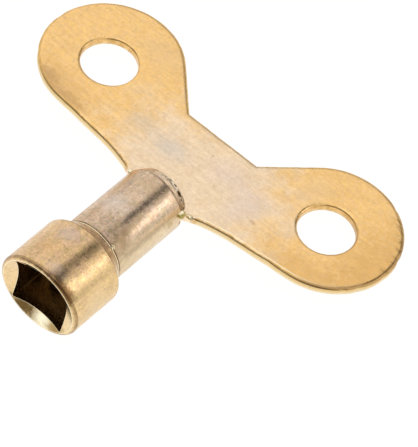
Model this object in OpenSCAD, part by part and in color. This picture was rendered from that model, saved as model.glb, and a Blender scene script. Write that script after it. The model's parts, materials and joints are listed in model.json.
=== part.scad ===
// Radiator bleed key: a stamped two-eared handle plate, brazed into the slotted end of a turned
// shank whose larger end is a square socket. Millimetres. The origin is the centre of the
// socket's mouth, +Y runs from the mouth to the handle, +X along the ears, +Z out of the plate.

/* [Handle plate] */
// Thickness of the handle plate
plate_t = 0.9; // [0.7:0.05:1.2]
// Distance from the centreline to the centre of each ear
ear_x = 14.2; // [13:0.1:17]
// Distance from the socket's mouth to the line through the ears' centres
ear_y = 27.3; // [27.1:0.1:30]
// Radius of each ear
ear_r = 7.5; // [6.5:0.1:7.7]
// Radius of the hole through each ear
ear_hole_r = 2.95; // [2:0.05:3.5]
// How far each hole's centre lies from its ear's centre, towards the socket
ear_hole_shift = 0.4; // [0:0.1:1]
// Half the length of the straight back edge between the ears
back_half_w = 4.4; // [3:0.1:5]
// How far the back edge lies behind the ears' centres
back_rise = 0.6; // [0:0.1:2]
// Lean of each front edge towards the socket, in degrees
front_slope = 6; // [3:1:8]
// Radius of the hollow curve that carries each front edge to the tongue
flare_r = 19; // [17:1:24]
// Distance from the centreline at which that curve starts
flare_x = 8.8; // [8:0.1:10]
// Half the width of the tongue that enters the shank
tongue_half_w = 3.35; // [3:0.05:3.4]

/* [Socket and shank] */
// Radius of the socket
socket_r = 4.75; // [4.75:0.05:6]
// Length of the socket, from its mouth to its tapered shoulder
socket_len = 6.6; // [6.2:0.1:8]
// Length of the taper from the socket down to the shank
shoulder_len = 1.3; // [1:0.1:2]
// Radius that rounds the socket's outer edge at the mouth
socket_edge_r = 0.4; // [0.1:0.05:0.4]
// Radius of the shank
shank_r = 3.55; // [3.5:0.05:3.8]
// Distance from the socket's mouth to the shank's end
shank_end_y = 18.5; // [18.3:0.05:18.7]
// Length of the bevel round the shank's end
bevel_len = 1.2; // [0.5:0.1:1.3]
// Depth of that bevel, across the shank
bevel_w = 0.6; // [0.2:0.05:0.65]

/* [Square drive] */
// Size of the square hole across its flats
square_af = 6.05; // [5:0.05:6.05]
// Depth of the square hole
square_depth = 6; // [4.5:0.1:6.2]
// Radius of the countersink where it meets the mouth
countersink_r = 4.3; // [4.28:0.01:4.34]
// Included angle of the countersink, in degrees
countersink_angle = 125; // [100:5:140]
// Radius of the drilled hole behind the square
pilot_r = 2.6; // [1.5:0.1:2.7]
// Depth of the drilled hole, to where its drill point starts
pilot_depth = 9.5; // [7:0.5:12]
// Included angle of the drill point, in degrees
drill_angle = 118; // [90:2:140]

/* [Brazed joint] */
// Depth of the slot in the shank's end
slot_depth = 1.5; // [1:0.1:1.8]
// Thickness of the brazing film on each face of the tongue
braze_t = 0.1; // [0.05:0.05:0.15]
// Half the width of the brazing film
braze_half_w = 2.6; // [2:0.1:2.7]
// Radius of the brazing fillet where it starts, on the shank's end face
fillet_r = 2.8; // [2.75:0.05:2.85]
// Radius of the fillet where it runs out on the plate
fillet_tip_r = 0.6; // [0.6:0.05:1]
// Length of the fillet along the plate
fillet_len = 1.2; // [0.8:0.1:2]

/* [Hidden] */
$fn = 96;

BRASS = "#e3bd7c";
SHANK = "#c8ae8a";
BRAZE = "#d9cdb4";
// Overshoot of a cut past the face it opens
CUT = 0.2;
// Overlap of two shapes that make one solid
WELD = 0.5;
// How far inside the ears' outline the straight edges end, so that they cross it cleanly
BITE = 0.03;

// A point of the front edge, carried straight on past its curve
function front_edge_y(x) =
    ear_y - ear_r / cos(front_slope) - (ear_x - x) * tan(front_slope);

// The ears' holes, and the points where the straight edges run into the round ears
ear = [ear_x, ear_y];
hole = [ear_x, ear_y - ear_hole_shift];
touch_r = ear_r - BITE;
corner_reach = norm([ear_x - back_half_w, back_rise]);
back_angle = 180 - atan(back_rise / (ear_x - back_half_w)) - acos(ear_r / corner_reach);
back_touch = ear + touch_r * [cos(back_angle), sin(back_angle)];
front_touch = ear + touch_r * [sin(front_slope), -cos(front_slope)];

// The hollow curve beside the tongue
flare_start = [flare_x, front_edge_y(flare_x)];
flare_centre = flare_start + flare_r * [sin(front_slope), -cos(front_slope)];
flare_reach = flare_centre[0] - tongue_half_w;
flare_end_y = flare_centre[1] + sqrt(flare_r * flare_r - flare_reach * flare_reach);

// The slot and the holes in the shank
slot_y = shank_end_y - slot_depth;
slot_h = plate_t + 2 * braze_t;
cone_slope = tan(countersink_angle / 2);
cone_depth = (countersink_r - pilot_r) / cone_slope;
drill_point = pilot_r / tan(drill_angle / 2);

// The right half of the web between the ears, from the back edge round to the tongue
WEB = [
    [back_half_w, ear_y + back_rise],
    back_touch,
    ear,
    front_touch,
    flare_start,
    [tongue_half_w, flare_end_y],
];

// A half outline and its mirror image about the centreline, as one closed outline
function both_halves(points) =
    concat(points, [for (i = [len(points) - 1 : -1 : 0]) [-points[i][0], points[i][1]]]);

module on_both_sides() {
    children();
    mirror([1, 0, 0]) children();
}

// A flat piece of the plate's thickness, centred on the axis
module slab() {
    translate([0, 0, -plate_t / 2])
        linear_extrude(plate_t)
            children();
}

// The web between the ears, hollowed on both sides of the tongue
module web() {
    difference() {
        slab() polygon(both_halves(WEB));
        on_both_sides()
            translate([flare_centre[0], flare_centre[1], -plate_t])
                cylinder(h = 2 * plate_t, r = flare_r, $fn = 360);
    }
}

// Stamped plate: two ears with holes, and the tongue that enters the shank
module wing_handle() {
    color(BRASS)
        difference() {
            union() {
                web();
                on_both_sides() slab() translate(ear) circle(r = ear_r);
                slab() translate([-tongue_half_w, slot_y])
                    square([2 * tongue_half_w, flare_end_y + WELD - slot_y]);
            }
            on_both_sides()
                translate([hole[0], hole[1], -plate_t])
                    cylinder(h = 2 * plate_t, r = ear_hole_r);
        }
}

// Half section of the socket and its taper, radius across and distance from the mouth upwards
module socket_section() {
    rounded_r = socket_r - socket_edge_r;
    shoulder_end = socket_len + shoulder_len;
    polygon([
        [0, 0],
        [rounded_r, 0],
        [rounded_r, socket_edge_r],
        [socket_r, socket_edge_r],
        [socket_r, socket_len],
        [shank_r, shoulder_end],
        [0, shoulder_end],
    ]);
    translate([rounded_r, socket_edge_r]) circle(r = socket_edge_r);
}

// Half section of the shank, with its bevelled end
module shank_section() {
    polygon([
        [0, socket_len - WELD],
        [shank_r, socket_len - WELD],
        [shank_r, shank_end_y - bevel_len],
        [shank_r - bevel_w, shank_end_y],
        [0, shank_end_y],
    ]);
}

// Square hole, its countersink, and the drilled hole behind it, along +Z from the mouth
module drive_hole() {
    translate([-square_af / 2, -square_af / 2, -CUT])
        cube([square_af, square_af, square_depth + CUT]);
    translate([0, 0, -CUT])
        cylinder(h = cone_depth + CUT, r1 = countersink_r + CUT * cone_slope, r2 = pilot_r);
    cylinder(h = pilot_depth, r = pilot_r);
    translate([0, 0, pilot_depth])
        cylinder(h = drill_point, r1 = pilot_r, r2 = 0);
}

// One turned piece: shank, socket with a square hole, and the slot for the tongue
module socket_shank() {
    color(SHANK)
        difference() {
            rotate([-90, 0, 0])
                difference() {
                    rotate_extrude() {
                        socket_section();
                        shank_section();
                    }
                    drive_hole();
                }
            translate([-socket_r, slot_y, -slot_h / 2])
                cube([2 * socket_r, slot_depth + CUT, slot_h]);
        }
}

// Brazing: a film in the slot and a sloping fillet behind it, on each face of the plate
module braze_seam() {
    color(BRAZE)
        difference() {
            union() {
                translate([-braze_half_w, slot_y, -slot_h / 2])
                    cube([2 * braze_half_w, slot_depth, slot_h]);
                translate([0, shank_end_y, 0])
                    rotate([-90, 0, 0])
                        cylinder(h = fillet_len, r1 = fillet_r, r2 = fillet_tip_r);
            }
            translate([-shank_r, slot_y - CUT, -plate_t / 2])
                cube([2 * shank_r, slot_depth + fillet_len + 2 * CUT, plate_t]);
        }
}

wing_handle();
socket_shank();
braze_seam();
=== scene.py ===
"""A radiator bleed key on a white floor: stamped handle plate, turned socket and shank, brazing."""
import json
import math

import bpy
from mathutils import Euler, Matrix, Vector, noise
from mathutils.geometry import delaunay_2d_cdt


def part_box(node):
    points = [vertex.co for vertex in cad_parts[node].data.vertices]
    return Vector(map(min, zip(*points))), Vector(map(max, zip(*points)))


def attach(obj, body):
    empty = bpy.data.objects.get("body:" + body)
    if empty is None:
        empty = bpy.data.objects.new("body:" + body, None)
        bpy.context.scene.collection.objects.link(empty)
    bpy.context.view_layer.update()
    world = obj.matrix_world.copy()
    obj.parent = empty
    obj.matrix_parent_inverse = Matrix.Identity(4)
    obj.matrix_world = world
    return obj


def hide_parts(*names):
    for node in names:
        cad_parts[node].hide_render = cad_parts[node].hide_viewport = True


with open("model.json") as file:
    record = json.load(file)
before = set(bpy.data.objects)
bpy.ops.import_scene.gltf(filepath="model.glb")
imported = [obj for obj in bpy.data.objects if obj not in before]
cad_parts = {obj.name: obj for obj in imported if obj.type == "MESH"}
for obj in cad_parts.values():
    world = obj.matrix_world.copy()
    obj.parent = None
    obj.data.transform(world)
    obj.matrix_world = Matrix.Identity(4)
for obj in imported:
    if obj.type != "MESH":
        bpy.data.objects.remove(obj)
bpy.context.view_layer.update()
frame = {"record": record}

MM = 0.001

# ---------------------------------------------------------------- sizes, in millimetres
# The frame gives the outer sizes and the ears' holes.
PLATE_LOW, PLATE_HIGH = (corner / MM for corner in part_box("wing_handle"))
SHANK_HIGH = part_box("socket_shank")[1] / MM
BRAZE_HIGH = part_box("braze_seam")[1] / MM
HOLE = next(m for m in frame["record"]["mounts"] if m["name"] == "ear_hole_right")
HOLE_CENTRE = Vector(HOLE["pos_m"][:2]) / MM
HOLE_R = HOLE["dims"]["r_mm"]

# Handle plate
PLATE_HALF = (PLATE_HIGH.z - PLATE_LOW.z) / 2
EAR_R = 7.5
EAR = Vector((PLATE_HIGH.x - EAR_R, PLATE_HIGH.y - EAR_R))
BACK_HALF_W = 4.4
BACK_Y = EAR.y + 0.6
FRONT_SLOPE = math.radians(6)
FLARE_R = 19.0
FLARE_X = 8.8
TONGUE_HALF_W = 3.35
TONGUE_Y = PLATE_LOW.y

# Socket and shank
SOCKET_R = SHANK_HIGH.x
SOCKET_LEN = 6.6
SHOULDER_LEN = 1.3
SOCKET_EDGE_R = 0.4
SHANK_R = 3.55
SHANK_END = SHANK_HIGH.y
BEVEL_LEN = 1.2
BEVEL_W = 0.6
SQUARE_HALF = 3.025
SQUARE_DEPTH = 6.0
CONE_R = 4.3
CONE_SLOPE = math.tan(math.radians(62.5))
PILOT_R = 2.6
PILOT_DEPTH = 9.5
DRILL_POINT = PILOT_R / math.tan(math.radians(59))
SLOT_HALF = PLATE_HALF + 0.1

# Brazing
FILLET_TIP_R = 0.6
FILLET_END = BRAZE_HIGH.y
FILM_HALF_W = SHANK_R - 0.08
FILLET_BASE = PLATE_HALF * 0.95  # slightly inside the plate, so that no gap shows
FILM_INNER = PLATE_HALF * 0.97  # inside the tongue's rim, for the same reason
FILM_OUTER = SLOT_HALF * 0.99  # just clear of the slot's wall


# ---------------------------------------------------------------- meshes
def smoothstep(low, high, value):
    t = min(1.0, max(0.0, (value - low) / (high - low)))
    return t * t * (3 - 2 * t)


def spread(low, high, count):
    """count numbers, evenly spaced from low to high, both included."""
    return [low + (high - low) * i / (count - 1) for i in range(count)]


def wander(point, scale, seed):
    """Smooth noise from -1 to 1 at a point in millimetres, with bumps about 1 / scale across."""
    return noise.noise(Vector(point) * scale + Vector((seed * 7.3, seed * 3.1, seed * 5.7)))


def make_piece(name, points, faces, node=None, marks=None):
    """A smooth-shaded mesh piece, from points in millimetres and faces that index them."""
    mesh = bpy.data.meshes.new(name)
    mesh.from_pydata([Vector(p) * MM for p in points], [], faces)
    for label, values in (marks or {}).items():
        layer = mesh.attributes.new(label, "FLOAT", "POINT")
        layer.data.foreach_set("value", values)
    mesh.polygons.foreach_set("use_smooth", [True] * len(mesh.polygons))
    mesh.update()
    piece = bpy.data.objects.new(name, mesh)
    bpy.context.scene.collection.objects.link(piece)
    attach(piece, "root")
    if node:
        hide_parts(node)
    return piece


# ---------------------------------------------------------------- handle plate
EDGE_STEP = 0.14  # spacing of the points along the plate's outline
ROLL_IN, ROLL_DOWN = 0.52, 0.32  # rounding where the punch drew the upper edge in
HOLE_ROLL = 0.7  # how much less the holes' edges are rounded
BURR_R = 0.12  # rounding of the lower edge
FLAT_LEAD = 0.22  # flat ring kept just inside the rounding
FLAT_SINK = 0.045  # share of its height that each face sinks, to make room for most of the waves
TONGUE_SHARE = 0.12  # share of the rounding that the tongue's edges get
CLEAR_Y = 18.2  # distance from the mouth behind which the plate's edges stand clear of the slot


def line_points(a, b):
    count = max(2, round((b - a).length / EDGE_STEP))
    return [a.lerp(b, i / count) for i in range(count)]


def arc_points(centre, radius, start, end):
    """Points on an arc, from one angle towards another, without the last one."""
    count = max(2, round(abs(end - start) * radius / EDGE_STEP))
    turns = [start + (end - start) * i / count for i in range(count)]
    return [centre + radius * Vector((math.cos(t), math.sin(t))) for t in turns]


def front_edge_y(x):
    return EAR.y - EAR_R / math.cos(FRONT_SLOPE) - (EAR.x - x) * math.tan(FRONT_SLOPE)


def right_outline():
    """The plate's right half: back edge, round ear, front edge, hollow curve and tongue."""
    corner = Vector((BACK_HALF_W, BACK_Y))
    reach = EAR - corner
    back_angle = math.pi - math.atan2(-reach.y, reach.x) - math.acos(EAR_R / reach.length)
    flare_start = Vector((FLARE_X, front_edge_y(FLARE_X)))
    lean = Vector((math.sin(FRONT_SLOPE), -math.cos(FRONT_SLOPE)))
    flare_centre = flare_start + FLARE_R * lean
    flare_end = math.acos((TONGUE_HALF_W - flare_centre.x) / FLARE_R)
    flare_point = flare_centre + FLARE_R * Vector((math.cos(flare_end), math.sin(flare_end)))
    front_angle = FRONT_SLOPE - math.pi / 2
    ear_end = EAR + EAR_R * lean
    ear_start = EAR + EAR_R * Vector((math.cos(back_angle), math.sin(back_angle)))
    tongue_corner = Vector((TONGUE_HALF_W, TONGUE_Y))
    return (
        line_points(Vector((0, BACK_Y)), corner)
        + line_points(corner, ear_start)
        + arc_points(EAR, EAR_R, back_angle, front_angle)
        + line_points(ear_end, flare_start)
        + arc_points(flare_centre, FLARE_R, math.pi / 2 + FRONT_SLOPE, flare_end)
        + line_points(flare_point, tongue_corner)
        + line_points(tongue_corner, Vector((0, TONGUE_Y)))
    )


def plate_outline():
    """The whole outline, clockwise from above, starting at the middle of the back edge."""
    right = right_outline()
    left = [Vector((-p.x, p.y)) for p in reversed(right[1:])]
    return right + [Vector((0, TONGUE_Y))] + left


def inward(points):
    """For each point of a loop with its material on the right, the step inwards that moves edges by 1."""
    offsets = []
    for i, here in enumerate(points):
        before = (here - points[i - 1]).normalized()
        after = (points[(i + 1) % len(points)] - here).normalized()
        normals = [Vector((d.y, -d.x)) for d in (before, after)]
        middle = (normals[0] + normals[1]).normalized()
        offsets.append(middle / max(0.5, middle.dot(normals[0])))
    return offsets


def edge_share(point):
    """How far the rounding is drawn out: nearly none on the tongue, which the slot hides."""
    clear = abs(point.x) - TONGUE_HALF_W + max(0, point.y - CLEAR_Y)
    return TONGUE_SHARE + (1 - TONGUE_SHARE) * smoothstep(0.2, 1.6, clear)


NICKS = [  # x, y, radius and depth of small dents along the plate's edges
    (-21.6, 27.8, 0.5, 0.05),
    (-20.4, 22.7, 0.4, 0.07),
    (-12.7, 20.0, 0.6, 0.06),
    (21.5, 29.5, 0.5, 0.08),
    (20.9, 23.7, 0.45, 0.09),
    (21.6, 26.6, 0.3, 0.06),
    (20.0, 22.4, 0.3, 0.06),
    (12.6, 19.5, 0.7, 0.06),
    (17.4, 34.0, 0.4, 0.06),
    (-9.3, 31.5, 0.4, 0.05),
]


def nick_depth(x, y):
    depth = 0.0
    for nick_x, nick_y, radius, deepest in NICKS:
        away = math.hypot(x - nick_x, y - nick_y) / radius
        depth += deepest * math.exp(-away * away)
    return depth


def edge_section(share, wobble):
    """Inset and height of each ring round an edge, from the upper flat to the lower one."""
    roll_in = ROLL_IN * share * (1 + wobble)
    roll_down = ROLL_DOWN * share * (1 + wobble)
    burr = BURR_R * share
    lead = FLAT_LEAD * share
    rings = [(roll_in + lead, PLATE_HALF, 0.0), (roll_in + lead / 3, PLATE_HALF, 0.0)]
    for turn in spread(0, math.pi / 2, 9):
        inset = roll_in * (1 - math.sin(turn))
        rings.append((inset, PLATE_HALF - roll_down * (1 - math.cos(turn)), math.sin(turn)))
    wall_top, wall_end = PLATE_HALF - roll_down, -PLATE_HALF + burr
    rings += [(0.0, wall_top + (wall_end - wall_top) * t, 1.0) for t in (0.33, 0.67)]
    for turn in spread(0, math.pi / 2, 5):
        inset = burr * (1 - math.cos(turn))
        rings.append((inset, wall_end - burr * math.sin(turn), math.cos(turn)))
    rings += [(burr + lead / 2, -PLATE_HALF, 0.0), (burr + lead, -PLATE_HALF, 0.0)]
    return rings


def plate_wave(x, y):
    """Height by which the sheet is out of flat, nothing at the shank."""
    far = smoothstep(3, 9, abs(x))
    return far * (0.035 * wander((x, y, 0), 0.16, 1) + 0.012 * wander((x, y, 0), 0.5, 2))


def edge_rings(loop, offsets, seed, roll):
    """Rings of points that carry one edge loop round from the upper flat to the lower one."""
    columns = []
    for point, offset in zip(loop, offsets):
        share = edge_share(point) * roll
        wobble = 0.16 * wander((point.x, point.y, 0), 0.45, seed)
        dent = nick_depth(point.x, point.y) + 0.012 * (1 + wander((*point, 0), 1.6, seed + 4)) * share
        column = []
        for inset, z, side in edge_section(share, wobble):
            place = point + offset * (inset + dent * side)
            z = z * (1 - FLAT_SINK * share) + plate_wave(*place)
            column.append(((place.x, place.y, z), side * share))
        columns.append(column)
    return [list(ring) for ring in zip(*columns)]


def inside(point, loop):
    """Whether a point lies within a closed loop."""
    crossings = 0
    for i, b in enumerate(loop):
        a = loop[i - 1]
        if (a.y > point.y) != (b.y > point.y):
            crossings += point.x < a.x + (b.x - a.x) * (point.y - a.y) / (b.y - a.y)
    return crossings % 2 == 1


GRID_STEP = 0.75  # spacing of the points on the plate's flats


def flat_faces(loops, first_index, grid_start):
    """Triangles that fill a flat between its outer loop and its holes, and the points added."""
    corners, edges = [], []
    for loop in loops:
        start = len(corners)
        corners += loop
        edges += [(start + i, start + (i + 1) % len(loop)) for i in range(len(loop))]
    limit = len(corners)
    xs = spread(PLATE_LOW.x, PLATE_HIGH.x, round((PLATE_HIGH.x - PLATE_LOW.x) / GRID_STEP))
    ys = spread(PLATE_LOW.y, PLATE_HIGH.y, round((PLATE_HIGH.y - PLATE_LOW.y) / GRID_STEP))
    for row, y in enumerate(ys):
        for x in xs:
            point = Vector((x + GRID_STEP / 2 * (row % 2), y))
            if not inside(point, loops[0]) or any(inside(point, hole) for hole in loops[1:]):
                continue
            if min((point - c).length_squared for c in corners[:limit:2]) > (GRID_STEP / 2) ** 2:
                corners.append(point)
    _, _, triangles, *_ = delaunay_2d_cdt(corners, edges, [], 1, 1e-7)
    kept = []
    for triangle in triangles:
        middle = sum((corners[i] for i in triangle), Vector((0, 0))) / 3
        if inside(middle, loops[0]) and not any(inside(middle, hole) for hole in loops[1:]):
            kept.append(triangle)
    index = {i: first_index[i] for i in range(limit)}
    index.update({limit + i: grid_start + i for i in range(len(corners) - limit)})
    return [[index[i] for i in triangle] for triangle in kept], corners[limit:]


def hole_loop(side):
    """Points round an ear's hole, so turned that its material lies to the right."""
    centre = Vector((side * HOLE_CENTRE.x, HOLE_CENTRE.y))
    count = round(2 * math.pi * HOLE_R / EDGE_STEP)
    turns = [2 * math.pi * i / count for i in range(count)]
    return [centre + HOLE_R * Vector((math.cos(t), math.sin(t))) for t in turns]


def build_plate():
    loops = [plate_outline(), hole_loop(1), hole_loop(-1)]
    points, marks, faces = [], [], []
    upper, lower = [], []
    for number, loop in enumerate(loops):
        rings = edge_rings(loop, inward(loop), 10 + number, HOLE_ROLL if number else 1.0)
        start, size = len(points), len(loop)
        for ring in rings:
            points += [place for place, _ in ring]
            marks += [mark for _, mark in ring]
        for r in range(len(rings) - 1):
            for i in range(size):
                j = (i + 1) % size
                a, b = start + r * size, start + (r + 1) * size
                faces.append((a + i, a + j, b + j, b + i))
        last = start + (len(rings) - 1) * size
        upper += [(start + i, Vector(rings[0][i][0][:2])) for i in range(size)]
        lower += [(last + i, Vector(rings[-1][i][0][:2])) for i in range(size)]
    sizes = [len(loop) for loop in loops]
    for border, z, flip in ((upper, PLATE_HALF, False), (lower, -PLATE_HALF, True)):
        flats, at = [], 0
        for size in sizes:
            flats.append([place for _, place in border[at:at + size]])
            at += size
        triangles, added = flat_faces(flats, [index for index, _ in border], len(points))
        faces += [tuple(reversed(t)) if flip else tuple(t) for t in triangles]
        points += [(p.x, p.y, z * (1 - FLAT_SINK) + plate_wave(p.x, p.y)) for p in added]
        marks += [0.0] * len(added)
    return make_piece("handle_plate", points, faces, "wing_handle", {"edge": marks})


# ---------------------------------------------------------------- socket and shank
TURNS = 480  # points round the axis
CORNER_R = 0.22  # rounding in the square's corners
MOUTH_BACK = 0.35  # how far the mouth's slightly slanted cut lies behind the CAD mouth, at the axis
MOUTH_LEAN_X, MOUTH_LEAN_Z = 0.0137, -0.0774  # its slant, foremost at the top
MOUTH_REACH = 3.0  # depth over which that slant dies away
BEVEL_START = SHANK_END - BEVEL_LEN
SHOULDER_END = SOCKET_LEN + SHOULDER_LEN

PAINTED_LIGHT_RINGS = [  # distance from the mouth, half width and strength of painted rings: the dark ones painted shade in corners and grooves, the bright ones painted highlights
    (SOCKET_LEN + 0.03, 0.07, -0.9),
    (SHOULDER_END - 0.10, 0.06, 0.6),
    (SHOULDER_END + 0.01, 0.05, -1.2),
    (SHOULDER_END + 0.10, 0.05, 1.5),
    (SHOULDER_END + 0.23, 0.06, -1.7),
    (BEVEL_START + 0.02, 0.13, -0.55),
]
RINGS_CUT = [  # distance from the mouth, half width and height of lines left by the lathe tool
    (SHOULDER_END + 0.10, 0.045, 0.025),
    (SHOULDER_END + 0.23, 0.05, -0.045),
    (SHOULDER_END + 0.42, 0.06, -0.015),
    (SOCKET_LEN - 0.22, 0.05, -0.012),
    (BEVEL_START - 0.5, 0.05, -0.008),
]
BURR_GLINT, PIT_WEAR = 12, 14  # painted brightness of burrs, a painted highlight, and darkness of pits, for each millimetre
BUMPS = [  # distance from the mouth, degrees from the top, radius and height of burrs and dents
    (SHOULDER_END + 0.30, 37, 0.22, 0.17),
    (10.4, -12, 0.10, -0.03),
    (11.0, -12.5, 0.12, -0.035),
    (3.1, 62, 0.30, -0.03),
    (2.2, 84, 0.35, -0.03),
    (5.0, -35, 0.40, -0.025),
    (15.6, 75, 0.25, -0.04),
    (9.4, 24, 0.16, -0.03),
    (8.8, 20, 0.12, 0.02),
    (13.0, 140, 0.40, -0.04),
    (4.2, 170, 0.45, -0.05),
    (3.4, -120, 0.50, -0.04),
]


def square_radius(angle):
    """Distance from the axis to the wall of the square hole, whose corners are rounded."""
    along = abs((angle + math.pi / 4) % (math.pi / 2) - math.pi / 4)
    flat = SQUARE_HALF / math.cos(along)
    core = SQUARE_HALF - CORNER_R
    if flat * math.sin(along) <= core:
        return flat
    middle = core * (math.cos(along) + math.sin(along))
    aside = core * (math.cos(along) - math.sin(along))
    return middle + math.sqrt(max(0.0, CORNER_R**2 - aside**2))


def soft_max(a, b, blend):
    """The larger of two, rounded where they cross."""
    gap = max(0.0, blend - abs(a - b)) / blend
    return max(a, b) + gap * gap * blend / 4


def soft_min(a, b, blend):
    return -soft_max(-a, -b, blend)


def outer_radius(y):
    """Radius of the turned outside behind the rounded mouth: socket, taper, shank and bevel."""
    taper = SOCKET_R - (y - SOCKET_LEN) * (SOCKET_R - SHANK_R) / SHOULDER_LEN
    bevel = SHANK_R - (y - BEVEL_START) * BEVEL_W / BEVEL_LEN
    r = soft_min(SOCKET_R, soft_max(SHANK_R, taper, 0.06), 0.10)
    r = soft_min(r, bevel, 0.09)
    for middle, half, height in RINGS_CUT:
        r += height * math.exp(-(((y - middle) / half) ** 2))
    return min(r, SOCKET_R)


def bump_height(x, y, z):
    """Height of the burrs and dents at a point of the turned outside."""
    height = 0.0
    for middle, degrees, radius, tall in BUMPS:
        if abs(y - middle) < 3 * radius:
            off = math.radians(degrees) - math.atan2(x, z)
            off = (off + math.pi) % (2 * math.pi) - math.pi
            away = math.hypot(y - middle, off * SHANK_R) / radius
            height += tall * math.exp(-away * away)
    return height


def outer_skin(x, y, z):
    """How far tool chatter sinks a point of the turned outside."""
    chatter = 0.008 * (1 + wander((x, y, z), 0.35, 5)) + 0.004 * (1 + wander((x, y, z), 1.3, 6))
    rings = 0.002 * (1 + wander((x * 0.1, y, z * 0.1), 3.0, 7))
    return chatter + rings


def mouth_shift(x, y, z):
    """How far the slanted mouth moves a point along the axis."""
    return (MOUTH_BACK + MOUTH_LEAN_X * x + MOUTH_LEAN_Z * z) * (1 - smoothstep(0, MOUTH_REACH, y))


def turned_rings():
    """Rings from the drill point out of the mouth and back to the shank's end.

    Each is (radius by angle, distance from the mouth, darkness by angle, wear and painted light by angle,
    outside).
    """
    def plain(r, y, dark=0.0, wear_and_painted_light=0.0, outside=False):
        return (lambda angle: r), y, (lambda angle: dark), (lambda angle: wear_and_painted_light), outside

    def drive(y):
        cone = CONE_R - y * CONE_SLOPE

        def radius(angle):
            return soft_max(square_radius(angle), cone, 0.035)

        def darkness(angle):
            return smoothstep(-0.02, 0.05, square_radius(angle) - cone)

        # The cone's faces are worn bright; the crease where they meet the square gets a painted
        # highlight.
        def wear_and_painted_light(angle):
            crease = math.exp(-(((square_radius(angle) - cone) / 0.04) ** 2))
            return 0.8 * (1 - darkness(angle)) + 0.35 * crease
        return radius, y, darkness, wear_and_painted_light, False

    def floor_ring(share):
        def radius(angle):
            return PILOT_R + (square_radius(angle) - PILOT_R) * share
        return radius, SQUARE_DEPTH, (lambda angle: 1.0), (lambda angle: 0.0), False

    rings = [plain(PILOT_R * t, PILOT_DEPTH + DRILL_POINT * (1 - t), 1.0) for t in (0.3, 0.6, 0.9, 1.0)]
    rings += [plain(PILOT_R, y, 1.0) for y in spread(PILOT_DEPTH - 0.1, SQUARE_DEPTH + 0.04, 8)]
    rings += [floor_ring(share) for share in (0.03, 0.2, 0.5, 0.8, 0.96)]
    rings += [drive(y) for y in spread(SQUARE_DEPTH - 0.05, 0.95, 22)]
    rings += [drive(y) for y in spread(0.9, 0.02, 50)]
    rings += [plain(CONE_R - 0.01, 0.006, 0.0, 0.7), plain(CONE_R + 0.02, 0.0, 0.0, 1.0)]
    # The rim's rounding is marked bright at both ends and dark in its middle: painted highlights and
    # painted shade.
    for turn in spread(0, math.pi / 2, 13):
        r = SOCKET_R - SOCKET_EDGE_R * (1 - math.sin(turn))
        y = SOCKET_EDGE_R * (1 - math.cos(turn))
        rings.append(plain(r, y, 0.0, 1.0 - 2.4 * math.sin(turn) * math.cos(turn / 2), y > 0.05))
    stretches = [  # start, end and number of rings
        (SOCKET_EDGE_R + 0.06, SOCKET_LEN - 0.3, 56),
        (SOCKET_LEN - 0.27, SOCKET_LEN + 0.2, 18),
        (SOCKET_LEN + 0.24, SHOULDER_END - 0.16, 14),
        (SHOULDER_END - 0.13, SHOULDER_END + 0.6, 34),
        (SHOULDER_END + 0.66, BEVEL_START - 0.35, 88),
        (BEVEL_START - 0.31, BEVEL_START + 0.3, 20),
        (BEVEL_START + 0.34, SHANK_END - 0.03, 14),
    ]
    for start, end, count in stretches:
        for y in spread(start, end, count):
            wear_and_painted_light = sum(wear_and_light_level * math.exp(-(((y - at) / half) ** 2)) for at, half, wear_and_light_level in PAINTED_LIGHT_RINGS)
            rings.append(plain(outer_radius(y), y, 0.0, wear_and_painted_light, True))
    rings.append(plain(SHANK_R - BEVEL_W - 0.04, SHANK_END))
    rings += [plain(r, SHANK_END) for r in (2.2, 1.2, 0.4)]
    return rings


def build_socket_shank():
    points, dark, wear_and_painted_light, faces = [], [], [], []
    rings = turned_rings()
    turns = [2 * math.pi * (i + 0.5) / TURNS for i in range(TURNS)]
    for radius, y, darkness, wear_and_light_level, outside in rings:
        for turn in turns:
            r = radius(turn)
            x, z = r * math.cos(turn), r * math.sin(turn)
            mark = wear_and_light_level(turn)
            if y > BEVEL_START - 0.3:
                mark *= 0.25 + 0.75 * smoothstep(-1.0, 1.5, x)
            if outside:
                pit_and_drop_light = pit_depth(math.degrees(turn), y, r) if z > 0 and y > BEVEL_START else 0.0
                rise = bump_height(x, y, z)
                share = 1 - (outer_skin(x, y, z) - rise + pit_and_drop_light) / r
                x, z = x * share, z * share
                # Burrs get a painted highlight; pits are darkened.
                mark += BURR_GLINT * max(0.0, rise) - PIT_WEAR * pit_and_drop_light
            points.append((x, y + mouth_shift(x, y, z), z))
            dark.append(darkness(turn))
            wear_and_painted_light.append(mark)
    for k in range(len(rings) - 1):
        for i in range(TURNS):
            j = (i + 1) % TURNS
            a, b = k * TURNS, (k + 1) * TURNS
            faces.append((a + i, b + i, b + j, a + j))
    ends = [(PILOT_DEPTH + DRILL_POINT, 0, False), (SHANK_END, (len(rings) - 1) * TURNS, True)]
    for y, start, flip in ends:
        points.append((0, y, 0))
        dark.append(0.0 if flip else 1.0)
        wear_and_painted_light.append(0.0)
        tip = len(points) - 1
        for i in range(TURNS):
            j = (i + 1) % TURNS
            faces.append((start + j, start + i, tip) if flip else (start + i, start + j, tip))
    marks = {"dark": dark, "wear_and_painted_light": wear_and_painted_light}
    piece = make_piece("socket_and_shank", points, faces, "socket_shank", marks)
    cut_slot(piece)
    return piece


# Corners of each side of a box, whose corners are counted through z, then y, then x
BOX_SIDES = [(0, 1, 3, 2), (4, 6, 7, 5), (0, 4, 5, 1), (2, 3, 7, 6), (0, 2, 6, 4), (1, 5, 7, 3)]


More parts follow.
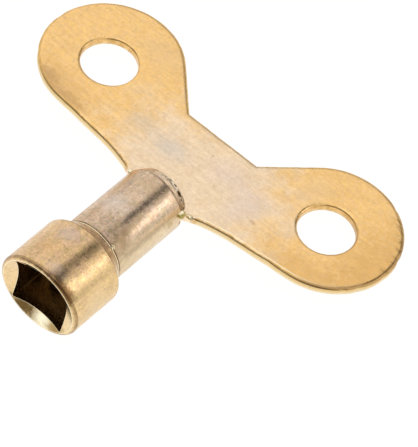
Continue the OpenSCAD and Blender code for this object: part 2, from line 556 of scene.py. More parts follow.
def cut_slot(piece):
    """Saws the slot for the plate's tongue across the shank's end."""
    half = Vector((SOCKET_R, (SHANK_END - TONGUE_Y) / 2 + 0.5, SLOT_HALF)) * MM
    middle = Vector((0, TONGUE_Y + half.y / MM, 0)) * MM
    saw_mesh = bpy.data.meshes.new("saw")
    corners = [(x, y, z) for x in (-1, 1) for y in (-1, 1) for z in (-1, 1)]
    saw_mesh.from_pydata([middle + Vector(c) * half for c in corners], [], BOX_SIDES)
    saw = bpy.data.objects.new("saw", saw_mesh)
    bpy.context.scene.collection.objects.link(saw)
    cut = piece.modifiers.new("slot", "BOOLEAN")
    cut.object = saw
    cut.solver = "EXACT"
    evaluated = piece.evaluated_get(bpy.context.evaluated_depsgraph_get())
    mesh = bpy.data.meshes.new_from_object(evaluated)
    piece.modifiers.clear()
    piece.data = mesh
    mesh.name = piece.name
    bpy.data.objects.remove(saw)


# ---------------------------------------------------------------- brazing
PITS = [  # degrees from +X towards +Z, distance from the mouth, radius, depth, stretch round the axis
    (47, 18.18, 0.17, 0.26, 1.8),
    (35, 18.04, 0.09, 0.12, 1.6),
    (28, 18.22, 0.11, 0.16, 1.2),
    (63, 18.36, 0.09, 0.10, 1.8),
    (17, 18.10, 0.12, 0.14, 1.0),
    (76, 18.30, 0.08, 0.08, 2.0),
]
DROPS = [  # place and half sizes of drops of brazing beside the slot
    ((3.45, 17.25, 1.02), (0.34, 0.42, 0.36)),
    ((3.95, 18.05, 0.38), (0.46, 0.26, 0.16)),
    ((-3.62, 18.02, 0.38), (0.36, 0.26, 0.18)),
]


def pit_depth(degrees, y, r):
    depth = 0.0
    for pit_degrees, pit_y, radius, deepest, stretch in PITS:
        round_it = math.radians(degrees - pit_degrees) * r / (radius * stretch)
        away = math.hypot(round_it, (y - pit_y) / radius)
        depth = max(depth, deepest * math.exp(-(away**4)))
    return depth


def braze_start(degrees, side):
    """Where the brazing begins on the bevel: further forward on the right than on the left."""
    left = smoothstep(70, 105, degrees) if side > 0 else 0.5
    return SHANK_END - 0.60 + 0.42 * left + 0.10 * wander((degrees * 0.05, 0, side), 1.0, 30)


CREST_AT = 0.3  # share of the profile that lies on the bevel, ahead of the shank's end


def braze_profile(t, degrees, side):
    """Radius and distance from the mouth, as t runs from the bevel to the fillet's end."""
    start, length = braze_start(degrees, side), FILLET_END - SHANK_END
    drawn_in = 0.22 * smoothstep(78, 100, degrees) if side > 0 else 0.1
    crest = SHANK_END + 0.02
    if t < CREST_AT:
        y = start + (crest - start) * t / CREST_AT
        skin = 0.05 * smoothstep(0, 0.12, t) - 0.02
        return SHANK_R - (y - BEVEL_START) * BEVEL_W / BEVEL_LEN + skin - drawn_in * t / CREST_AT, y
    along = (t - CREST_AT) / (1 - CREST_AT)
    top = SHANK_R - BEVEL_W + 0.03 - drawn_in
    return top + (FILLET_TIP_R - top) * along**0.8, crest + (length - 0.02) * along**1.3


def fillet_side(side):
    """Points, marks and faces of the lumpy brazing on one face of the plate."""
    rows, columns = 64, 150
    points, marks, faces = [], [], []
    for row in range(-1, rows):
        t = max(0, row) / (rows - 1)
        for i in range(columns):
            share = i / (columns - 1)
            r, y = braze_profile(t, 180 * share, side)
            edge = math.degrees(math.asin(min(1.0, FILLET_BASE / r)))
            degrees = edge + (180 - 2 * edge) * share
            turn = math.radians(degrees)
            flank = math.sin(math.pi * share) ** 0.5
            lumps = wander((r * math.cos(turn), y, side * 3), 1.5, 20)
            lumps += 0.5 * wander((degrees * 0.05, y, side), 3.5, 21)
            pit_and_drop_light = pit_depth(degrees, y, r) if side > 0 else 0.0
            deep = r + (0.045 * lumps * smoothstep(0, 0.1, t) - pit_and_drop_light) * flank
            if row < 0:
                deep, y = r - 0.3, y + 0.1
            points.append((deep * math.cos(turn), y, side * max(FILLET_BASE, deep * math.sin(turn))))
            marks.append(min(1.0, pit_and_drop_light / 0.07))
    for k in range(rows):
        for i in range(columns - 1):
            a, b = k * columns + i, (k + 1) * columns + i
            quad = (a, a + 1, b + 1, b)
            faces.append(quad if side > 0 else tuple(reversed(quad)))
    last = rows * columns
    front = list(range(columns))
    tip = [last + i for i in range(columns)]
    under = [k * columns for k in range(rows + 1)]
    under += [k * columns + columns - 1 for k in reversed(range(rows + 1))]
    for cap in (list(reversed(front)), tip, under):
        faces.append(tuple(cap) if side > 0 else tuple(reversed(cap)))
    return points, marks, faces


def film_side(side):
    """Brazing between the tongue and the slot's wall, flush with the shank and its bevel."""
    end_half_w = FILM_HALF_W - BEVEL_W
    right = [(FILM_HALF_W, TONGUE_Y + 0.1), (FILM_HALF_W, BEVEL_START), (end_half_w, SHANK_END)]
    outline = right + [(-x, y) for x, y in reversed(right)]
    count = len(outline)
    points = [(x, y, side * z) for z in (FILM_INNER, FILM_OUTER) for x, y in outline]
    faces = [tuple(reversed(range(count))), tuple(range(count, 2 * count))]
    for i in range(count):
        j = (i + 1) % count
        faces.append((i, j, count + j, count + i))
    return points, [0.0] * len(points), faces if side > 0 else [tuple(reversed(f)) for f in faces]


def drop(place, half_sizes):
    """A lumpy drop of brazing, with a painted highlight on top and painted shade on its sides."""
    rows, columns = 18, 28
    ways = [Vector((0, 0, 1))]
    for lift in spread(0, math.pi, rows + 1)[1:-1]:
        flat, up = math.sin(lift), math.cos(lift)
        turns = [2 * math.pi * j / columns for j in range(columns)]
        ways += [Vector((flat * math.cos(t), flat * math.sin(t), up)) for t in turns]
    ways.append(Vector((0, 0, -1)))
    points, marks = [], []
    for way in ways:
        swell = 1 + 0.30 * wander(way, 1.2, place[0]) + 0.14 * wander(way, 2.6, place[1])
        points.append(Vector(place) + way * Vector(half_sizes) * swell)
        # Painted highlight on top (marks below 0) and painted shade on the sides (0.25).
        marks.append(0.25 - 1.25 * smoothstep(0.50, 0.80, way.z - 0.5 * way.x))
    faces = []
    for j in range(columns):
        k = (j + 1) % columns
        faces.append((0, 1 + j, 1 + k))
        for i in range(rows - 2):
            a, b = 1 + i * columns, 1 + (i + 1) * columns
            faces.append((a + j, b + j, b + k, a + k))
        last = 1 + (rows - 2) * columns
        faces.append((last + j, len(ways) - 1, last + k))
    return points, marks, faces


def build_braze():
    solids = [build(side) for build in (fillet_side, film_side) for side in (1, -1)]
    solids += [drop(*one) for one in DROPS]
    points, marks, faces = [], [], []
    for more, more_marks, more_faces in solids:
        faces += [tuple(len(points) + i for i in face) for face in more_faces]
        points += more
        marks += more_marks
    return make_piece("braze_seam_bead", points, faces, "braze_seam", {"pit_and_drop_light": marks})


# ---------------------------------------------------------------- materials
class Tree:
    """Short calls that add nodes to one node tree and join them."""

    def __init__(self, tree):
        self.tree = tree
        self.tree.nodes.clear()

    def add(self, kind, inputs=None, **settings):
        made = self.tree.nodes.new(kind)
        for key, value in settings.items():
            setattr(made, key, value)
        for key, value in (inputs or {}).items():
            socket = made.inputs[key]
            if isinstance(value, bpy.types.NodeSocket):
                self.tree.links.new(value, socket)
            else:
                socket.default_value = value
        return made

    def math(self, operation, *values, clamp=False):
        inputs = dict(enumerate(values))
        return self.add("ShaderNodeMath", inputs, operation=operation, use_clamp=clamp).outputs[0]

    def product(self, *values):
        result = values[0]
        for value in values[1:]:
            result = self.math("MULTIPLY", result, value)
        return result

    def vector(self, operation, a, b=None, scale=None):
        inputs = {0: a}
        if b is not None:
            inputs[1] = b
        if scale is not None:
            inputs["Scale"] = scale
        made = self.add("ShaderNodeVectorMath", inputs, operation=operation)
        return made.outputs["Value"] if operation in ("LENGTH", "DOT_PRODUCT") else made.outputs[0]

    def fade(self, value, low, high, start=0.0, end=1.0):
        """Runs smoothly from start to end as value goes from low to high."""
        inputs = {"Value": value, "From Min": low, "From Max": high, "To Min": start, "To Max": end}
        return self.add("ShaderNodeMapRange", inputs, interpolation_type="SMOOTHSTEP").outputs["Result"]

    def noise(self, place, scale, detail=2.0, roughness=0.5, distortion=0.0):
        inputs = {"Vector": place, "Scale": scale, "Detail": detail, "Roughness": roughness}
        inputs["Distortion"] = distortion
        return self.add("ShaderNodeTexNoise", inputs).outputs["Fac"]

    def mix(self, share, a, b, blend="MIX"):
        made = self.add("ShaderNodeMix", {"Factor": share}, data_type="RGBA", blend_type=blend)
        for index, value in ((6, a), (7, b)):
            if isinstance(value, bpy.types.NodeSocket):
                self.tree.links.new(value, made.inputs[index])
            else:
                made.inputs[index].default_value = (*value, 1.0)
        return made.outputs[2]

    def place(self):
        """The shaded point's place, in millimetres from the object's origin."""
        spot = self.add("ShaderNodeTexCoord").outputs["Object"]
        return self.vector("SCALE", spot, scale=1 / MM)

    def drawn_out(self, place, turn, squeeze):
        """The place turned about Z and squeezed, so that noise makes marks along the squeezed axes."""
        inputs = {"Vector": place, "Rotation": Euler((0, 0, math.radians(turn))), "Scale": squeeze}
        return self.add("ShaderNodeMapping", inputs).outputs[0]

    def mark(self, name):
        return self.add("ShaderNodeAttribute", attribute_name=name).outputs["Fac"]

    def mottled(self, color, *layers):
        """The colour lightened and darkened by noise layers, each (noise, strength)."""
        level = 1 - sum(strength for _, strength in layers) / 2
        for noise_value, strength in layers:
            level = self.math("MULTIPLY_ADD", noise_value, strength, level)
        return self.mix(1.0, color, level, "MULTIPLY")

    def stained_and_painted_light(self, color, place, patches):
        """The colour with soft ragged patches, each (centre, half sizes, tint, strength): stains, and in
        some tables painted shade and painted highlights.
        """
        ragged = self.noise(place, 1.9, 4.0, 0.75)
        for centre, half_sizes, tint, strength in patches:
            off = self.vector("DIVIDE", self.vector("SUBTRACT", place, centre), half_sizes)
            away = self.math("MULTIPLY_ADD", ragged, 1.8, self.vector("LENGTH", off))
            color = self.mix(self.fade(away, 1.15, 2.3, strength, 0.0), color, tint)
        return color


def new_material(name):
    material = bpy.data.materials.new(name)
    material.use_nodes = True
    return material, Tree(material.node_tree)


def finish_metal(tree, color, roughness, height):
    """Closes a metal material: colour, roughness and a bump whose height is in millimetres."""
    bump = tree.add("ShaderNodeBump", {"Height": height, "Distance": MM, "Strength": 1.0})
    inputs = {"Base Color": color, "Metallic": 1.0, "Roughness": roughness, "Normal": bump.outputs[0]}
    shader = tree.add("ShaderNodeBsdfPrincipled", inputs)
    output = tree.add("ShaderNodeOutputMaterial")
    tree.tree.links.new(shader.outputs[0], output.inputs["Surface"])


def tumbled(tree, place, grain, scratch):
    """Height of a tumbled metal surface: fine grain with faint scratches in two directions."""
    height = tree.math("MULTIPLY", tree.noise(place, 4.5, 3.0, 0.6), grain)
    for turn, squeeze in ((35, 0.06), (-50, 0.08)):
        streak = tree.noise(tree.drawn_out(place, turn, (squeeze, 1, 1)), 4.5, 2.0, 0.5)
        height = tree.math("ADD", height, tree.fade(streak, 0.60, 0.70, 0.0, -scratch))
    return height


WARM_GOLD = (1.0, 0.63, 0.235)
PALE_GOLD = (0.95, 0.735, 0.50)
WALL_GOLD = (0.80, 0.60, 0.29)
# Painted shade along the plate's edges
EDGE_SHADE_BROWN = (0.66, 0.40, 0.13)
# Colour of painted highlights and painted reflections
PAINTED_HIGHLIGHT = (1.0, 0.88, 0.60)
# A real stain, and painted shade on the plate's right edges
PLATE_STAIN_AND_SHADE_BROWN = (0.46, 0.27, 0.11)
GREY = (0.62, 0.58, 0.55)

PLATE_STAINS = [  # centre, half sizes, tint and strength
    ((-16.2, 21.2, 0), (5.0, 2.2, 3), (0.70, 0.42, 0.17), 0.40),
    ((-17.6, 21.0, 0), (1.8, 1.0, 3), (0.52, 0.31, 0.14), 0.60),
    ((-14.6, 20.2, 0), (3.2, 0.9, 3), (0.52, 0.31, 0.14), 0.55),
    ((20.2, 26.0, 0), (3.4, 7.0, 3), (0.76, 0.44, 0.15), 0.65),
    ((15.8, 21.0, 0), (5.5, 2.0, 3), (0.76, 0.45, 0.16), 0.55),
    ((-3.0, 23.1, 0), (2.4, 1.3, 3), GREY, 0.45),
    ((3.5, 24.8, 0), (2.6, 1.6, 3), (0.80, 0.64, 0.56), 0.40),
    ((6.8, 23.2, 0), (1.8, 2.6, 3), (0.76, 0.62, 0.56), 0.45),
    ((-7.0, 23.6, 0), (1.6, 1.4, 3), (0.60, 0.44, 0.27), 0.30),
    ((8.6, 22.1, 0), (0.35, 0.30, 3), PLATE_STAIN_AND_SHADE_BROWN, 0.45),
    ((-11.0, 31.6, 0), (3.0, 1.6, 3), (0.82, 0.56, 0.30), 0.40),
    ((10.4, 29.6, 0), (1.6, 2.2, 3), (0.84, 0.60, 0.36), 0.35),
]


def plate_faces(tree, place, brushed):
    """Colour of the plate's faces: warm on the ears, paler towards the joint."""
    away = tree.vector("LENGTH", tree.vector("SUBTRACT", place, (1.5, 20.6, 0.0)))
    drift = tree.fade(tree.noise(place, 0.35, 3.0, 0.6), 0.3, 0.7, -2.2, 2.2)
    warmth = tree.fade(tree.math("ADD", away, drift), 5.5, 13.5)
    color = tree.mix(warmth, PALE_GOLD, WARM_GOLD)
    blotch = tree.fade(tree.noise(place, 1.1, 4.0, 0.65), 0.35, 0.75, 0.0, 0.30)
    color = tree.mix(blotch, color, (0.74, 0.48, 0.22))
    color = tree.mottled(
        color,
        (tree.noise(place, 5.0, 1.0, 0.5), 0.14),
        (tree.noise(place, 2.6, 2.0, 0.6), 0.36),
        (brushed, 0.34),
    )
    hue = tree.fade(tree.noise(place, 1.9, 2.0, 0.6), 0.35, 0.65)
    color = tree.mix(tree.math("MULTIPLY", hue, 0.14), color, (0.78, 0.60, 0.50))
    return tree.stained_and_painted_light(color, place, PLATE_STAINS)


def plate_edges(tree, place, axes, edge, color):
    """Adds painted highlights, a painted reflection and painted shade along the plate's edges, over the
    walls' own gold.
    """
    color = tree.mix(tree.fade(edge, 0.6, 0.95, 0.0, 0.75), color, WALL_GOLD)
    # Painted reflection: the lower half of each wall is lightened, standing in for the white floor's
    # reflection.
    painted_floor_reflection = tree.fade(axes["Z"], 0.05, -0.30, 0.0, 0.6)
    color = tree.mix(tree.product(edge, painted_floor_reflection), color, PAINTED_HIGHLIGHT)
    # Painted highlight: a bright line on the upper rounding of the arms' front-facing edges.
    facing = tree.add("ShaderNodeSeparateXYZ", {0: tree.add("ShaderNodeNewGeometry").outputs["Normal"]})
    front = tree.fade(facing.outputs["Y"], -0.05, -0.20)
    from_hole = tree.vector("SUBTRACT", place, (HOLE_CENTRE.x, HOLE_CENTRE.y, 0))
    outer = tree.vector("LENGTH", from_hole)
    arm = tree.product(tree.fade(outer, 4.4, 5.0), tree.fade(axes["X"], 0.0, 6.0))
    painted_edge_highlight = tree.product(front, arm, tree.fade(edge, 0.1, 0.28), tree.fade(edge, 0.36, 0.5, 0.8, 0.0))
    color = tree.mix(painted_edge_highlight, color, PAINTED_HIGHLIGHT)
    # Where the right ear's rear edge is; it gets its own painted shade line below.
    rear = tree.product(tree.fade(axes["X"], 16.0, 18.0), tree.fade(axes["Y"], 27.0, 30.0))
    not_rear = tree.math("SUBTRACT", 1.0, rear)
    # Painted shade: a patchy brown line down each edge's rounding, standing in for its dark reflection.
    painted_dark_line = tree.product(tree.fade(edge, 0.33, 0.55), tree.fade(edge, 0.85, 0.99, 1.0, 0.0), not_rear)
    wear_and_light_level = tree.fade(tree.noise(place, 1.8, 2.0, 0.6), 0.35, 0.65, 0.3, 0.9)
    color = tree.mix(tree.product(painted_dark_line, wear_and_light_level), color, EDGE_SHADE_BROWN)
    # Painted shade: a broader brown band on the rounding of the right ear's edges.
    band = tree.product(tree.fade(edge, 0.12, 0.45), tree.fade(edge, 0.9, 1.0, 0.75, 0.0))
    color = tree.mix(tree.product(band, tree.fade(axes["X"], 13.5, 18.0), not_rear), color, PLATE_STAIN_AND_SHADE_BROWN)
    # Painted shade: a narrower, darker brown line on the right ear's rear edge.
    return tree.mix(tree.product(rear, tree.fade(edge, 0.55, 0.90, 0.0, 0.85)), color, PLATE_STAIN_AND_SHADE_BROWN)


def rim_nicks(tree, place, axes, edge, color):
    """Adds short brown nicks along the rear right edge."""
    rim = tree.fade(tree.vector("LENGTH", tree.vector("SUBTRACT", place, (EAR.x, EAR.y, 0))), 6.4, 7.2)
    right = tree.product(tree.fade(axes["X"], 16.5, 19.0), tree.fade(axes["Y"], 24.5, 27.0))
    right = tree.product(right, tree.fade(edge, 0.8, 1.0, 1.0, 0.0))
    short = tree.noise(tree.drawn_out(place, 0, (0.22, 1, 1)), 4.0, 1.0, 0.5)
    nicks = tree.fade(short, 0.46, 0.60, 0.0, 0.75)
    return tree.mix(tree.product(rim, right, nicks), color, (0.46, 0.28, 0.11))


def plate_material():
    """Satin brass, nicked along its edges, with painted highlights, a painted reflection and painted
    shade along them.
    """
    material, tree = new_material("handle_plating_metal")
    place = tree.place()
    axes = tree.add("ShaderNodeSeparateXYZ", {0: place}).outputs
    edge = tree.mark("edge")
    brushed = tree.noise(tree.drawn_out(place, 0, (0.14, 1, 1)), 2.6, 3.0, 0.65)
    color = plate_edges(tree, place, axes, edge, plate_faces(tree, place, brushed))
    speck = tree.fade(tree.noise(place, 3.4, 2.0, 0.6), 0.66, 0.76, 0.0, 0.55)
    color = tree.mix(speck, color, (0.42, 0.28, 0.15))
    color = rim_nicks(tree, place, axes, edge, color)
    roughness = tree.fade(tree.noise(place, 0.9, 3.0, 0.6), 0.3, 0.7, 0.25, 0.36)
    height = tree.math("MULTIPLY_ADD", brushed, 0.006, tumbled(tree, place, 0.006, 0.004))
    finish_metal(tree, color, roughness, height)
    return material


SHANK_TAUPE = (0.66, 0.515, 0.375)
SOCKET_GOLD = (0.74, 0.50, 0.235)
BORE_BROWN = (0.44, 0.34, 0.21)
# Real wear and painted highlights
WORN_AND_LIT_GOLD = (0.93, 0.71, 0.38)
# Real stains and painted shade
STAIN_AND_SHADE_BROWN = (0.17, 0.085, 0.03)
# Painted reflection on the lower right side of the shank and of the socket
LIT_SIDE_GOLD = (0.80, 0.65, 0.42)
SOCKET_LIT_SIDE_GOLD = (0.83, 0.595, 0.27)
BARE = (0.93, 0.82, 0.64)

TURNED_STAINS_AND_REFLECTION = [  # centre, half sizes, tint and strength
    ((2.4, 0.25, 4.0), (2.2, 0.70, 1.8), STAIN_AND_SHADE_BROWN, 0.95),
    ((3.3, 0.45, 3.3), (0.9, 0.75, 0.9), STAIN_AND_SHADE_BROWN, 0.80),
    ((-1.0, 5.2, 4.4), (1.4, 1.1, 1.4), (0.60, 0.47, 0.44), 0.45),
    ((1.8, 5.4, 4.0), (0.9, 1.2, 0.9), (0.50, 0.33, 0.16), 0.60),
    ((-1.6, 2.6, 4.4), (1.2, 1.0, 1.2), (0.78, 0.46, 0.22), 0.45),
    ((0.8, 1.2, 4.5), (1.2, 0.8, 1.2), (0.66, 0.52, 0.46), 0.40),
    ((4.6, 3.4, 1.2), (1.2, 1.6, 1.4), (0.78, 0.60, 0.38), 0.40),
    ((2.4, 9.2, 2.6), (1.2, 1.3, 1.2), (0.42, 0.29, 0.16), 0.65),
    ((-1.2, 12.0, 3.3), (2.0, 1.4, 1.2), (0.70, 0.62, 0.56), 0.45),
    ((0.2, 16.0, 3.5), (2.2, 1.0, 1.2), (0.64, 0.46, 0.28), 0.50),
    ((-2.4, 15.4, 2.8), (1.0, 1.8, 1.2), (0.60, 0.45, 0.31), 0.45),
    ((3.4, 15.6, 1.0), (0.35, 0.4, 0.5), (0.45, 0.33, 0.12), 0.60),
    # Painted reflection: a long dark line along the shank's upper right.
    ((3.2, 12.2, 1.5), (0.5, 4.2, 0.35), (0.46, 0.35, 0.22), 0.70),
    ((1.9, 10.2, 3.0), (0.6, 2.6, 0.5), (0.34, 0.23, 0.12), 0.65),
]

# Painted reflections on the cone's lower face: a highlight, and dark patches at both ends.
CONE_PAINTED_REFLECTIONS = [
    ((0.6, 0.9, -3.6), (1.3, 1.2, 1.2), (1.0, 0.93, 0.68), 1.0),
    ((-1.8, 0.8, -3.5), (1.7, 1.6, 1.6), (0.15, 0.09, 0.03), 1.0),
    ((2.5, 0.8, -3.3), (1.3, 1.2, 1.2), (0.36, 0.23, 0.08), 0.90),
]


def turned_skin(tree, place, along, rings):
    """Mottled colour of the turned outside, goldest on the socket; its lower right side is painted
    lighter and calmer, standing in for the floor's reflection.
    """
    color = tree.mix(tree.fade(along, SHOULDER_END - 0.2, SHOULDER_END + 0.2), SOCKET_GOLD, SHANK_TAUPE)
    taper = tree.product(
        tree.fade(along, SOCKET_LEN + 0.05, SOCKET_LEN + 0.5),
        tree.fade(along, SHOULDER_END - 0.1, SHOULDER_END + 0.1, 1.0, 0.0),
    )
    bevel = tree.fade(along, BEVEL_START + 0.05, BEVEL_START + 0.25)
    # Painted reflection: the lower right side is lighter, standing in for the white floor's reflection.
    side = tree.fade(tree.vector("DOT_PRODUCT", place, (0.95, 0, -0.3)), 1.2, 2.8)
    behind = tree.fade(along, SOCKET_LEN, SHOULDER_END)
    color = tree.mix(side, color, tree.mix(behind, SOCKET_LIT_SIDE_GOLD, LIT_SIDE_GOLD))
    blotch = tree.fade(tree.noise(place, 1.3, 4.0, 0.65, 0.4), 0.35, 0.75, 0.0, 0.40)
    color = tree.mix(blotch, color, (0.60, 0.40, 0.25))
    color = tree.mix(tree.math("MULTIPLY", taper, 0.6), color, BARE)
    color = tree.mix(tree.math("MULTIPLY", bevel, 0.55), color, PALE_GOLD)
    calm = color
    color = tree.mottled(
        color,
        (tree.noise(place, 4.6, 1.0, 0.5), 1.0),
        (tree.noise(place, 2.1, 2.0, 0.6), 0.95),
        (rings, 0.30),
        (tree.noise(tree.drawn_out(place, 0, (1, 0.12, 1)), 2.2, 2.0, 0.6), 1.0),
    )
    hue = tree.fade(tree.noise(place, 2.7, 2.0, 0.6), 0.38, 0.62)
    color = tree.mix(tree.math("MULTIPLY", hue, 0.48), color, (0.80, 0.50, 0.34))
    olive = tree.fade(tree.noise(place, 1.7, 3.0, 0.6, 0.3), 0.45, 0.68, 0.0, 0.45)
    color = tree.mix(olive, color, (0.52, 0.41, 0.18))
    # The painted lighter side is also less mottled.
    smooth = tree.product(side, tree.fade(along, SHOULDER_END - 0.2, SHOULDER_END + 0.3, 0.40, 0.65))
    return tree.mix(smooth, color, calm)


def turned_material():
    """Thin mottled plating on turned metal, dark in its hole, worn bright on the cone, with painted
    highlights and painted shade on its edges and rings, a painted lighter right side and painted
    reflections on the cone.
    """
    material, tree = new_material("shank_plating_metal")
    place = tree.place()
    along = tree.add("ShaderNodeSeparateXYZ", {0: place}).outputs["Y"]
    rings = tree.noise(tree.drawn_out(place, 0, (0.10, 1, 0.10)), 3.2, 2.0, 0.6)
    color = turned_skin(tree, place, along, rings)
    color = tree.stained_and_painted_light(color, place, TURNED_STAINS_AND_REFLECTION)
    speck = tree.fade(tree.noise(place, 3.6, 2.0, 0.6), 0.63, 0.74, 0.0, 0.55)
    color = tree.mix(speck, color, (0.36, 0.24, 0.14))
    patchy = tree.fade(tree.noise(place, 1.4, 2.0), 0.3, 0.6, 0.55, 1.0)
    # Positive marks lighten with real wear on the cone and painted highlights on edges, rings and burrs;
    # negative marks darken with painted shade on corners, grooves and the rim's middle, and pits.
    wear_and_painted_light = tree.math("MULTIPLY", tree.mark("wear_and_painted_light"), patchy)
    color = tree.mix(tree.math("MULTIPLY", wear_and_painted_light, 0.8, clamp=True), color, WORN_AND_LIT_GOLD)
    color = tree.mix(tree.math("MULTIPLY", wear_and_painted_light, -0.75, clamp=True), color, STAIN_AND_SHADE_BROWN)
    # Painted reflections on the cone: a highlight and dark patches.
    color = tree.stained_and_painted_light(color, place, CONE_PAINTED_REFLECTIONS)
    # The brightest marks get a painted highlight.
    color = tree.mix(tree.fade(tree.mark("wear_and_painted_light"), 0.86, 0.97), color, PAINTED_HIGHLIGHT)
    dark = tree.mark("dark")
    color = tree.mix(dark, color, BORE_BROWN)
    polish = tree.fade(tree.noise(place, 1.0, 3.0, 0.6), 0.3, 0.7, 0.24, 0.34)
    polish = tree.math("MULTIPLY_ADD", tree.math("MAXIMUM", wear_and_painted_light, dark), -0.14, polish)
    behind = tree.fade(along, SHOULDER_END, SHOULDER_END + 0.3)
    dull = tree.product(behind, tree.fade(along, 10.0, 11.4, 1.0, 0.0))
    roughness = tree.math("MULTIPLY_ADD", dull, 0.16, polish)
    height = tree.math("MULTIPLY_ADD", rings, 0.006, tumbled(tree, place, 0.009, 0.004))
    finish_metal(tree, color, roughness, height)
    return material


BRAZE_STAINS = [
    (DROPS[0][0], (0.9, 0.9, 0.9), (0.60, 0.47, 0.15), 1.0),
    (DROPS[1][0], (0.7, 0.7, 0.7), (0.66, 0.50, 0.24), 0.8),
]


def braze_material():
    """Pale filler metal with dark pits, and painted highlights and painted shade on its drops."""
    material, tree = new_material("braze_metal")
    place = tree.place()
    blotch = tree.fade(tree.noise(place, 2.0, 4.0, 0.65), 0.35, 0.65)
    color = tree.mix(blotch, (0.92, 0.79, 0.60), (0.50, 0.36, 0.22))
    color = tree.mottled(color, (tree.noise(place, 6.0, 1.0, 0.5), 0.5))
    color = tree.stained_and_painted_light(color, place, BRAZE_STAINS)
    pit_and_drop_light = tree.mark("pit_and_drop_light")
    # Painted highlight on the drops' tops.
    color = tree.mix(tree.fade(pit_and_drop_light, 0.0, -1.0), color, PAINTED_HIGHLIGHT)
    # Dark pits, and painted shade on the drops' sides.
    color = tree.mix(tree.math("MAXIMUM", pit_and_drop_light, 0.0), color, (0.11, 0.065, 0.028))
    roughness = tree.fade(tree.noise(place, 1.5, 2.0), 0.3, 0.7, 0.22, 0.40)
    finish_metal(tree, color, roughness, tree.math("MULTIPLY", tree.noise(place, 3.0, 4.0, 0.65), 0.03))
    return material


# ---------------------------------------------------------------- floor, light and camera
def floor_plane():
    """The plane that the key lies on: under the socket's rear edge and the shank's end."""
    front = Vector((0, SOCKET_LEN, -SOCKET_R))
    back = Vector((0, BEVEL_START, -SHANK_R))
    return front, math.atan2(back.z - front.z, back.y - front.y)


FLOOR_HALF = 1500  # half the length of the floor's sides
FLOOR_GAP = 0.02  # gap that keeps the key clear of the floor


def build_floor():
    """A white floor under the key, seen only from above."""
    rest, tilt = floor_plane()
    mesh = bpy.data.meshes.new("floor")
    half = FLOOR_HALF * MM
    corners = [(-half, -half, 0), (half, -half, 0), (half, half, 0), (-half, half, 0)]
    mesh.from_pydata(corners, [], [(0, 1, 2, 3)])
    floor = bpy.data.objects.new("floor", mesh)
    bpy.context.scene.collection.objects.link(floor)
    below = Matrix.Translation(rest * MM - Vector((0, 0, FLOOR_GAP * MM)))
    floor.matrix_world = below @ Matrix.Rotation(tilt, 4, "X")
    material, tree = new_material("white_floor")
    glow = tree.add("ShaderNodeEmission", {"Color": (1, 1, 1, 1), "Strength": 0.96})
    paint = tree.add("ShaderNodeBsdfDiffuse", {"Color": (0.1, 0.1, 0.1, 1)})
    both = tree.add("ShaderNodeAddShader", {0: glow.outputs[0], 1: paint.outputs[0]})
    clear = tree.add("ShaderNodeBsdfTransparent")
    under = tree.add("ShaderNodeNewGeometry").outputs["Backfacing"]
    shown = tree.add("ShaderNodeMixShader", {0: under, 1: both.outputs[0], 2: clear.outputs[0]})
    output = tree.add("ShaderNodeOutputMaterial")
    tree.tree.links.new(shown.outputs[0], output.inputs["Surface"])
    floor.data.materials.append(material)


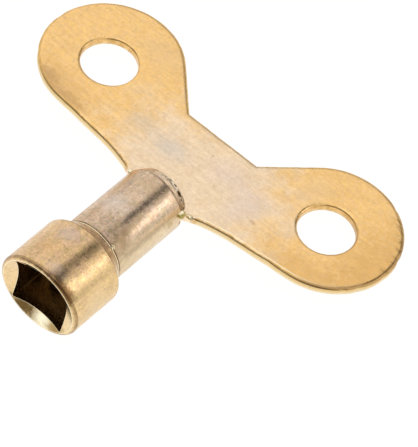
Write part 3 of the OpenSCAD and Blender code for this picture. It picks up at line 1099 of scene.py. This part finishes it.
def build_studio():
    """A white light tent: a gap overhead beside a bright strip, a dim front opening, a dim rear edge."""
    world = bpy.data.worlds.new("light_tent")
    bpy.context.scene.world = world
    world.use_nodes = True
    tree = Tree(world.node_tree)
    way = tree.add("ShaderNodeTexCoord").outputs["Generated"]
    axes = tree.add("ShaderNodeSeparateXYZ", {0: way})
    x, y, z = (axes.outputs[name] for name in "XYZ")
    around = tree.math("MULTIPLY", tree.math("ARCTAN2", x, z), 180 / math.pi)

    def band(middle, half, soft):
        """1 within half degrees of middle round the shank's axis, fading out over soft degrees."""
        off = tree.math("ABSOLUTE", tree.math("SUBTRACT", around, middle))
        return tree.fade(off, half, half + soft, 1.0, 0.0)

    def between(value, low, high, soft):
        """1 from low to high, fading out over soft on both sides."""
        rise = tree.fade(value, low - soft, low)
        return tree.product(rise, tree.fade(value, high, high + soft, 1.0, 0.0))

    def spot(direction, half, soft):
        """1 within half degrees of a direction, fading out over soft degrees."""
        lean = tree.vector("DOT_PRODUCT", way, Vector(direction).normalized())
        off = tree.math("MULTIPLY", tree.math("ARCCOSINE", lean), 180 / math.pi)
        return tree.fade(off, half, half + soft, 1.0, 0.0)

    length = tree.product(tree.fade(y, 0.2, 0.35), tree.fade(y, 0.80, 0.90, 1.0, 0.0))
    shades = [
        (tree.product(band(16, 7, 9), length), 0.95),
        (tree.product(between(y, 0.76, 0.92, 0.04), band(15, 80, 20)), 0.62),
        (tree.product(band(82, 2.5, 4), length), 0.35),
        (tree.product(between(z, 0.12, 0.80, 0.08), tree.fade(y, -0.45, -0.25, 1.0, 0.0)), 0.75),
        (tree.product(between(z, -0.05, 0.15, 0.12), tree.fade(y, -0.1, 0.1)), 0.22),
        (spot((0.29, -0.54, 0.79), 8, 14), 0.6),
    ]
    strip = tree.product(band(55, 6, 8), between(y, 0.40, 0.56, 0.08))
    light = tree.math("MULTIPLY_ADD", strip, 1.4, 1.0)
    light = tree.math("MULTIPLY_ADD", spot((-0.29, -0.15, 0.94), 6, 12), 0.5, light)
    for shade, strength in shades:
        light = tree.math("MULTIPLY", light, tree.math("MULTIPLY_ADD", shade, -strength, 1.0))
    seen = tree.add("ShaderNodeLightPath").outputs["Is Camera Ray"]
    strength = tree.add("ShaderNodeMix", {"Factor": seen, 2: light, 3: 1.0}, data_type="FLOAT").outputs[0]
    back = tree.add("ShaderNodeBackground", {"Color": (1, 1, 1, 1), "Strength": strength})
    output = tree.add("ShaderNodeOutputWorld")
    tree.tree.links.new(back.outputs[0], output.inputs["Surface"])
    bpy.context.scene.view_settings.view_transform = "Standard"


# Fitted to the photograph: lengths in millimetres and angles in degrees
TARGET = Vector((5.6, 19.14, 0.0))
AZIMUTH, ELEVATION, ROLL = 28.32, 51.91, 15.04
DISTANCE = 346.0
LENS = 287.3


def build_camera():
    """The camera of the photograph: above the right front, rolled so that the shank runs down left."""
    azimuth, elevation = math.radians(AZIMUTH), math.radians(ELEVATION)
    level = Vector((math.sin(azimuth), -math.cos(azimuth), 0)) * math.cos(elevation)
    back = level + Vector((0, 0, math.sin(elevation)))
    data = bpy.data.cameras.new("camera")
    data.lens = LENS
    data.sensor_width = 36
    data.clip_start, data.clip_end = 0.01, 10
    camera = bpy.data.objects.new("camera", data)
    bpy.context.scene.collection.objects.link(camera)
    aim = (-back).to_track_quat("-Z", "Y").to_matrix().to_4x4()
    turn = aim @ Matrix.Rotation(math.radians(ROLL), 4, "Z")
    camera.matrix_world = Matrix.Translation((TARGET + back * DISTANCE) * MM) @ turn
    bpy.context.scene.camera = camera


# ---------------------------------------------------------------- the scene
build_camera()
build_plate().data.materials.append(plate_material())
build_socket_shank().data.materials.append(turned_material())
build_braze().data.materials.append(braze_material())
build_floor()
build_studio()
